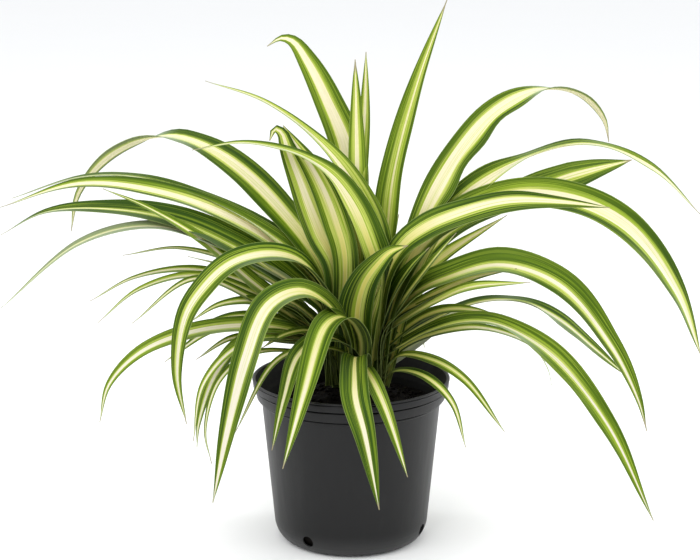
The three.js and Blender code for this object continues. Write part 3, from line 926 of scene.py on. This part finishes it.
def roll_along(along, rolls):
    """The roll about the midrib in radians: a single one, or eased between the listed ones."""
    if np.ndim(rolls) == 0:
        return np.full(len(along), np.radians(float(rolls)))
    place = along * (len(rolls) - 1)
    index = np.minimum(place.astype(int), len(rolls) - 2)
    rolls = np.array(rolls, float)
    return np.radians(rolls[index] + (rolls[index + 1] - rolls[index]) * eased(place - index))


def route_spots(crown, fan, angle, turn, stations):
    """The route's stations in space, in mm, from the crown to the tip."""
    route = [(crown, ROOT_REACH, ROOT_HEIGHT)] + [(fan, reach, height) for reach, height in stations]
    spots = []
    for index, (centre, reach, height) in enumerate(route):
        heading = math.radians(angle + turn * index / (len(route) - 1))
        spots.append([centre[0] + reach * math.cos(heading), centre[1] + reach * math.sin(heading), height])
    return spots


def blade_arrows(forward, heading, roll):
    """Unit arrows across the blade and out of its upper face, rolled about the midrib."""
    across = np.stack([-np.sin(heading), np.cos(heading), np.zeros_like(heading)], 1)
    upward = np.cross(forward, across)
    upward /= np.linalg.norm(upward, axis=1)[:, None]
    across = np.cross(upward, forward)
    cos, sin = np.cos(roll)[:, None], np.sin(roll)[:, None]
    return across * cos + upward * sin, upward * cos - across * sin


print("route helpers ready")

# %% Blade numbers
# Lengths are in mm and the roll's wave in degrees. The rest are shares or plain factors.
LEAF_SEED = 90417
LEAF_THICKNESS = 0.62
# The share left where the blade is narrowest, and the half width from which it is thick.
THIN_SHARE, THICK_HALF = 0.55, 5
MARGIN_THINNING = 0.35
TIP_HALF_WIDTH = 0.3
ROOT_FOLD, TIP_FOLD = 0.46, 0.2
FOLD_POWER = 1.15
ROLL_WAVE, ROLL_WAVE_LENGTH = 3.0, 130
MARGIN_WAVE, MARGIN_WAVE_LENGTH, WAVY_HALF = 0.35, 62, 8
WIDTH_WAVE, WIDTH_WAVE_LENGTH = 0.03, 75
# The leaf with lobes along one margin, and how deep they are.
FRILLED = {"R1": 0.17}
FRILL_LENGTH, FRILL_START = 50, 0.6
# The heart of the clump: its centre, the weight of each axis and the distances where leaves come clear.
HEART = np.array([12, 4, 150])
HEART_AXES = [1, 1, 0.9]
HEART_RADIUS = (26, 150)
# Where the pale root fades out, along the leaf and upward.
PALE_RUN = (14, 46)
PALE_HEIGHT = (126, 150)
# Limits of the draws that set each leaf apart.
DRAWS = {
    "cream": (0.94, 1.06), "yellow": (0.9, 1.1), "tone": (-0.25, 0.25), "seed": (0, 20), "dry": (0.965, 1)
}
print("leaf thickness:", LEAF_THICKNESS, "mm")

# %% Stripes
# Each leaf's stripes: half width of the cream band, width of the yellow-green one beside it, both as
# shares of the half blade, the tone from dark (-1) to light (1) and how far the band lies off the middle.
# Zeros at the end are left out. The tone is partly the leaf's own and partly painted shade: leaves that
# lie in shade are given a darker tone.
STRIPES = {
    "L1": (0.14, 0.34, 0.6, 0.15), "L2": (0.34, 0.14, 0.3, -0.08), "L3a": (0.3, 0.3, 0.6),
    "L3b": (0.24, 0.3, 0.4), "L4": (0.28, 0.44, 0, -0.15), "L5": (0.3, 0.3, -1, -0.05),
    "L6": (0.3, 0.46, -1, -0.3), "U1": (0.26, 0.36, -0.5), "A": (0.34, 0.14, -0.3),
    "B1": (0.3, 0.14, -0.8, -0.36), "B2": (0.36, 0.18, -0.2, -0.1), "C": (0.09, 0.14, -0.9, -0.2),
    "D": (0.14, 0.22), "E": (0.16, 0.12, -0.1), "F": (0.24, 0.2, 0.2), "L13": (0.26, 0.2, -0.1),
    "F5": (0.32, 0.1, -0.5), "F3": (0.25, 0.1, -0.5), "F4": (0.18, 0.1, -0.3), "F1": (0.16, 0.03, -0.6),
    "F2": (0.22, 0.2, -0.1, -0.15), "C1": (0.28, 0.24, -0.8, 0.08), "R1": (0.44, 0.14, -0.3, -0.04),
    "R2": (0.5, 0.14, -0.3, 0.3), "R3": (0.26, 0.16, -0.5, -0.12), "R4": (0.24, 0.14, -0.5),
    "R5": (0.4, 0.16), "R6": (0.2, 0.14, -0.2, 0.2), "R6b": (0.2, 0.4, 0.2),
    "R6c": (0.4, 0.2, -0.2, -0.1), "R7": (0.2, 0.14, -0.4), "R8": (0.15, 0.12, 0.3, 0.04),
    "R8b": (0.3, 0.2, 0.2), "R9": (0.16, 0.26), "R10": (0.2, 0.3, -0.5), "IR1": (0.1, 0.12, -0.9, 0.1),
    "IR2": (0.36, 0.3, 0.3), "IR3": (0.16, 0.2, -0.5), "I3": (0.12, 0.5, 0.4), "M1": (0.26, 0.2, 0.1),
    "BB": (0.4, 0.2),
}
PLAIN_STRIPE = (0.24, 0.2)
# Leaves that have lost colour, and how far.
FADED = {"BB": 0.7, "E": 0.3}
print(len(STRIPES), "leaves with stripes of their own")

# %% Blade laying


def note_all(mesh, numbers):
    """Keeps each of the numbers on the points of a leaf or crown."""
    for key, value in numbers.items():
        note(mesh, "leaf_" + key, np.full(len(mesh.vertices), value))


def note_leaf(mesh, label, points, run, draw):
    """Keeps the numbers that the leaf's material reads."""
    x, along, z = pattern_points.T
    depth = np.linalg.norm((points - HEART) * HEART_AXES, axis=1)
    cream, yellow, tone, shift = (*STRIPES.get(label, PLAIN_STRIPE), 0, 0)[:4]
    drawn = {name: draw.uniform(*limits) for name, limits in DRAWS.items()}
    numbers = {
        "across": x, "along": along, "run": run * MM, "under": z < 0, "open": eased(depth, *HEART_RADIUS),
        "pale": (1 - eased(run, *PALE_RUN)) * (1 - eased(points[:, 2], *PALE_HEIGHT)),
        "cream": cream * drawn["cream"], "yellow": yellow * drawn["yellow"], "tone": tone + drawn["tone"],
        "shift": shift, "seed": drawn["seed"], "dry": drawn["dry"], "faded": FADED.get(label, 0),
    }
    note_all(mesh, numbers)


def lay_blade(crown, fan, draw, label, angle, stations, width, rolls, outline=PLAIN, turn=0):
    """A copy of the pattern, bent along one leaf's route."""
    x, along, z = pattern_points.T
    route = curve_through(route_spots(crown, fan, angle, turn, stations))
    spot, forward, length = even_steps(route, along)
    run = along * length
    waves = [draw.uniform(0, 2 * math.pi) for _ in range(3)]
    roll = roll_along(along, rolls)
    roll += math.radians(ROLL_WAVE) * wave(run, ROLL_WAVE_LENGTH, waves[0]) * along
    side, face = blade_arrows(forward, np.radians(angle + turn * along), roll)

    half = np.maximum(width * share_of_width(along, outline) / 2, TIP_HALF_WIDTH)
    swell = wave(run, WIDTH_WAVE_LENGTH, waves[1] * np.sign(x))
    frill = wave(run, FRILL_LENGTH, FRILL_START) * np.sin(math.pi * along) ** 2
    half *= 1 + WIDTH_WAVE * swell + FRILLED.get(label, 0) * (x > 0) * frill
    fold = ROOT_FOLD + (TIP_FOLD - ROOT_FOLD) * along
    ripple = wave(run, MARGIN_WAVE_LENGTH, np.where(x > 0, waves[1], waves[2]))
    lift = half * fold * np.abs(x) ** FOLD_POWER
    lift += MARGIN_WAVE * ripple * x * x * np.minimum(half / WAVY_HALF, 1)
    thickness = THIN_SHARE + (1 - THIN_SHARE) * np.minimum(half / THICK_HALF, 1)
    thickness *= LEAF_THICKNESS * (1 - MARGIN_THINNING * x * x)
    points = spot - side * (x * half)[:, None] + face * (lift + z * thickness)[:, None]

    blade = own_copy(pattern)
    blade.data.vertices.foreach_set("co", (points * MM).astype(np.float32).ravel())
    note_leaf(blade.data, label, points, run, draw)
    return blade


print("blade laying ready")

# %% [markdown]
# ### The crowns
# Leaf bases sheathe each other into a short pale stub that stands in the soil. It is spun from a section
# that draws in at the top, is ribbed a little, and gets the same numbers as the leaves.

# %% Crowns and rosettes
# The crown's outside as (radius, height) in mm.
CROWN_SECTION = [(6.8, 106), (7, 114), (6.8, 122), (5.8, 130), (4.6, 136), (3, 140)]
CROWN_FOOT, CROWN_TOP = 106, 141
CROWN_PALE_HEIGHT = (110, 130)
CROWN_SIDES = 28
CROWN_RIBS = 7
CROWN_RIB_DEPTH = 0.09
CROWN_TWIST = 90
CROWN_NUMBERS = {"across": 0.6, "cream": 0.1, "yellow": 0.2, "dry": 1.0}
LEAF_CREASE = 50


def crown_piece(place):
    """The stub that carries one rosette's leaves."""
    piece = grow_section("crown", [(0, CROWN_FOOT)] + CROWN_SECTION + [(0, CROWN_TOP)])
    spin_section(piece, CROWN_SIDES)
    bpy.ops.object.mode_set(mode="OBJECT")
    for vertex in piece.data.vertices:
        angle = math.atan2(vertex.co.y, vertex.co.x)
        rib = math.cos(CROWN_RIBS * angle + CROWN_TWIST * vertex.co.z)
        swell = 1 - CROWN_RIB_DEPTH + CROWN_RIB_DEPTH * rib
        vertex.co.x = vertex.co.x * swell + place[0] * MM
        vertex.co.y = vertex.co.y * swell + place[1] * MM
    heights = np.array([vertex.co.z for vertex in piece.data.vertices])
    pale = 1 - eased(heights / MM, *CROWN_PALE_HEIGHT)
    note_all(piece.data, {"run": heights, "pale": pale, **CROWN_NUMBERS})
    return piece


def rosette_piece(name, draw):
    """One crown with all its leaves."""
    crown, fan, rows = ROSETTES[name]
    pieces = [lay_blade(crown, fan, draw, *row) for row in rows]
    pieces.append(crown_piece(crown))
    rosette = join_pieces(pieces, name + "_leaves")
    smooth_shade(rosette, LEAF_CREASE)
    return rosette


leaf_draw = random.Random(LEAF_SEED)
rosettes = {name: rosette_piece(name, leaf_draw) for name in ROSETTES}
bpy.data.objects.remove(pattern)
print({name: len(piece.data.polygons) for name, piece in rosettes.items()})

# %% [markdown]
# ## The leaf's finish
# Down the middle runs a cream band, beside it a narrow yellow-green one, and wide green margins lie
# outside. The borders aren't ruled: thin streaks of one colour run into the next. All of this follows the
# leaf, so it is drawn from numbers kept on its points: how far across, how far along, which face. Leaves
# deep in the clump are greener and darker, partly their own colour and partly painted shade, and a
# painted sheen, a painted reflection, pales a face that is seen at a slant.

# %% Leaf colours
OUTER_CREAM = (0.77, 0.7, 0.48, 1)
LOW_CREAM = (0.7, 0.65, 0.55, 1)
WARM_CREAM = (0.7, 0.67, 0.25, 1)
INNER_CREAM = (0.66, 0.6, 0.12, 1)
YELLOW_GREEN = (0.5, 0.55, 0.12, 1)
LIME_GREEN = (0.27, 0.37, 0.03, 1)
FRESH_GREEN = (0.096, 0.165, 0.006, 1)
DEEP_GREEN = (0.024, 0.06, 0.003, 1)
# Partly the inner leaves' own deeper green, partly painted shade deep in the clump.
HEART_SHADED_GREEN = (0.014, 0.038, 0.001, 1)
PALE_UNDERSIDE = (0.6, 0.6, 0.42, 1)
PALE_ROOT = (0.3, 0.36, 0.1, 1)
FADED_LEAF = (0.5, 0.52, 0.42, 1)
DRY_TIP = (0.3, 0.25, 0.16, 1)
PALE_EDGE = (0.34, 0.42, 0.12, 1)
# Painted sheen: a painted reflection, paler where a face is seen at a slant.
PAINTED_SHEEN = (0.46, 0.55, 0.42, 1)
print("leaf colours ready")

# %% Leaf layers
# Kinds of streak: fineness across, change along, and detail. Then how far each moves the stripes' borders.
STREAKS = {
    "broad": (2.2, 6.0, 1), "streaks": (6.0, 7.0, 2.0), "lines": (11.0, 4.0, 1), "fine": (18.0, 9.0, 2.0)
}
BORDER_WANDER = {"broad": 0.3, "streaks": 0.3, "fine": 0.16}
# Colours laid over a base: the number that a layer follows, its ramp and its colour.
GREEN_LAYERS = [
    ("depth", 0.6, 1.2, 0, 1, FRESH_GREEN),
    # Painted shade deep in the clump, partly the inner leaves' own darker green.
    ("open", 0, 0.55, 0.9, 0, HEART_SHADED_GREEN),
    ("lime", 0.78, 0.88, 0, 0.85, LIME_GREEN),
    ("lines", 0.57, 0.64, 0, 0.4, LIME_GREEN),
    ("edge", 0.6, 0.95, 0, 0.5, DEEP_GREEN),
]
YELLOW_LAYERS = [("fine", 0.44, 0.56, 0, 1, LIME_GREEN)]
CREAM_LAYERS = [
    ("open", 0.2, 0.95, 0, 1, OUTER_CREAM),
    ("inner", -0.1, -0.01, 0, 0.7, WARM_CREAM),
]
CREAM_STREAKS = [
    ("lines", 0.56, 0.66, 0, 0.6, YELLOW_GREEN),
    ("fine", 0.54, 0.62, 0, 0.35, YELLOW_GREEN),
]
YELLOW_BORDER = (-0.1, 0.06, 1, 0)
CREAM_BORDER = (-0.03, 0.025, 1, 0)
EDGE_LAYER = ("edge", 0.95, 0.99, 0, 0.45, PALE_EDGE)
TIP_LAYER = ("end", -0.015, 0.012, 0, 0.85, DRY_TIP)
# Limits and shares of the ramps that aren't a layer of their own.
HEART_CREAM = (0, 0.6, 0.55, 1)
HEART_SHADE = (0, 0.45, 0.66, 1)
LOW_RAMP = (0.14, 0.26, 0.9, 0)
UNDER_RAMP = (0.3, 1, 0.04, 0.16)
SHEEN_OPEN, SHEEN_FACING = (0.3, 1), (0.35, 1)
SHEEN_SHARE, PALE_SHARE, UNDER_CREAM = 0.5, 0.5, 0.4
DEPTH_TONE, LIME_TONE, LIME_STREAKS = 0.26, 0.08, 0.5
LEAF_MOTTLING = (70.0, 0.07)
LEAF_ROUGHNESS, UNDER_ROUGHNESS, STREAK_ROUGHNESS = 0.42, 0.14, 0.12
RIB_COUNT, RIB_RELIEF, STREAK_RELIEF = 46.0, 0.35, 0.8
LEAF_BUMP = (0.25, 0.0004)
LEAF_GLOSS = 0.1


def layered(numbers, colour, layers):
    """Lays the layers over a colour in their order."""
    for name, *limits, over in layers:
        colour = blend_colour(ramp(numbers[name], *limits), colour, over)
    return colour


print("leaf layers ready")

# %% Leaf material


def streak_field(leaf, fineness, change, detail):
    """Noise drawn out along the leaf: many streaks across, slow change along."""
    x, y = times(leaf["across"], fineness), times(leaf["run"], change)
    place = add_node(x.id_data, "ShaderNodeCombineXYZ", {"X": x, "Y": y, "Z": leaf["seed"]}).outputs[0]
    return grain_field(place, 1.0, detail)


def leaf_numbers(tree):
    """Every number that the leaf's look follows: those kept on its points and those worked out here."""
    kept = "across along run seed cream yellow tone shift under open pale dry faded".split()
    leaf = {name: read_attribute(tree, "leaf_" + name) for name in kept}
    leaf.update({name: streak_field(leaf, *sizes) for name, sizes in STREAKS.items()})
    border = calculate("ABSOLUTE", calculate("SUBTRACT", leaf["across"], leaf["shift"]))
    for name, wander in BORDER_WANDER.items():
        border = scaled(calculate("SUBTRACT", leaf[name], 0.5), wander, border)
    cream = times(leaf["cream"], ramp(leaf["open"], *HEART_CREAM))
    cream = times(cream, scaled(leaf["under"], UNDER_CREAM, 1.0))
    leaf["inner"] = calculate("SUBTRACT", border, cream)
    leaf["outer"] = calculate("SUBTRACT", leaf["inner"], leaf["yellow"])
    both = calculate("ADD", leaf["streaks"], leaf["broad"])
    # The leaf's tone, partly painted shade, shifts its green.
    leaf["depth"] = scaled(leaf["tone"], DEPTH_TONE, both)
    lime = scaled(leaf["streaks"], LIME_STREAKS, leaf["fine"])
    leaf["lime"] = scaled(leaf["tone"], LIME_TONE, lime)
    leaf["edge"] = calculate("ABSOLUTE", leaf["across"])
    leaf["end"] = calculate("SUBTRACT", leaf["along"], leaf["dry"])
    return leaf


def striped_colour(tree, leaf):
    """Green, with the yellow-green band, the cream band and the pale edge laid over it."""
    green = layered(leaf, DEEP_GREEN, GREEN_LAYERS)
    yellow = layered(leaf, YELLOW_GREEN, YELLOW_LAYERS)
    cream = layered(leaf, INNER_CREAM, CREAM_LAYERS)
    low = times(ramp(height_of(object_place(tree)), *LOW_RAMP), leaf["open"])
    cream = layered(leaf, blend_colour(low, cream, LOW_CREAM), CREAM_STREAKS)
    bands = [("outer", *YELLOW_BORDER, yellow), ("inner", *CREAM_BORDER, cream), EDGE_LAYER]
    return layered(leaf, green, bands)


def aged_and_sheen_colour(tree, leaf, colour):
    """The pale root, the dull underside, fading, the dry tip and the painted sheen, a painted reflection at
    a slant.
    """
    colour = blend_colour(times(leaf["pale"], PALE_SHARE), colour, PALE_ROOT)
    under = times(leaf["under"], ramp(leaf["open"], *UNDER_RAMP))
    colour = blend_colour(under, colour, PALE_UNDERSIDE)
    colour = blend_colour(leaf["faded"], colour, FADED_LEAF)
    colour = layered(leaf, colour, [TIP_LAYER])
    # Painted sheen: the face is paled where it is seen at a slant.
    facing = add_node(tree, "ShaderNodeLayerWeight", {"Blend": 0.5}).outputs["Facing"]
    painted_sheen_share = scaled(leaf["under"], -SHEEN_SHARE, SHEEN_SHARE)
    painted_sheen_share = times(painted_sheen_share, ramp(leaf["open"], *SHEEN_OPEN))
    return blend_colour(times(ramp(facing, *SHEEN_FACING), painted_sheen_share), colour, PAINTED_SHEEN)


def leaf_material():
    """Smooth living leaf with its stripes, streaks and fine ribs."""
    material, tree, shader = new_material("striped_leaf")
    leaf = leaf_numbers(tree)
    colour = aged_and_sheen_colour(tree, leaf, striped_colour(tree, leaf))
    tone, height = mottle(object_place(tree), *LEAF_MOTTLING)
    colour = toned(colour, times(ramp(leaf["open"], *HEART_SHADE), tone))
    rough = scaled(leaf["under"], UNDER_ROUGHNESS, LEAF_ROUGHNESS)
    rough = scaled(leaf["fine"], STREAK_ROUGHNESS, rough)
    ribs = calculate("SINE", times(leaf["across"], RIB_COUNT))
    relief = scaled(ribs, RIB_RELIEF, scaled(leaf["fine"], STREAK_RELIEF, height))
    finish_surface(shader, colour, rough, relief, LEAF_BUMP, LEAF_GLOSS)
    return material


striped_leaf = leaf_material()
for node_name, rosette in rosettes.items():
    rosette.data.materials.append(striped_leaf)
    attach(rosette, "root")
    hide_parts(node_name)
print("leaves dressed")
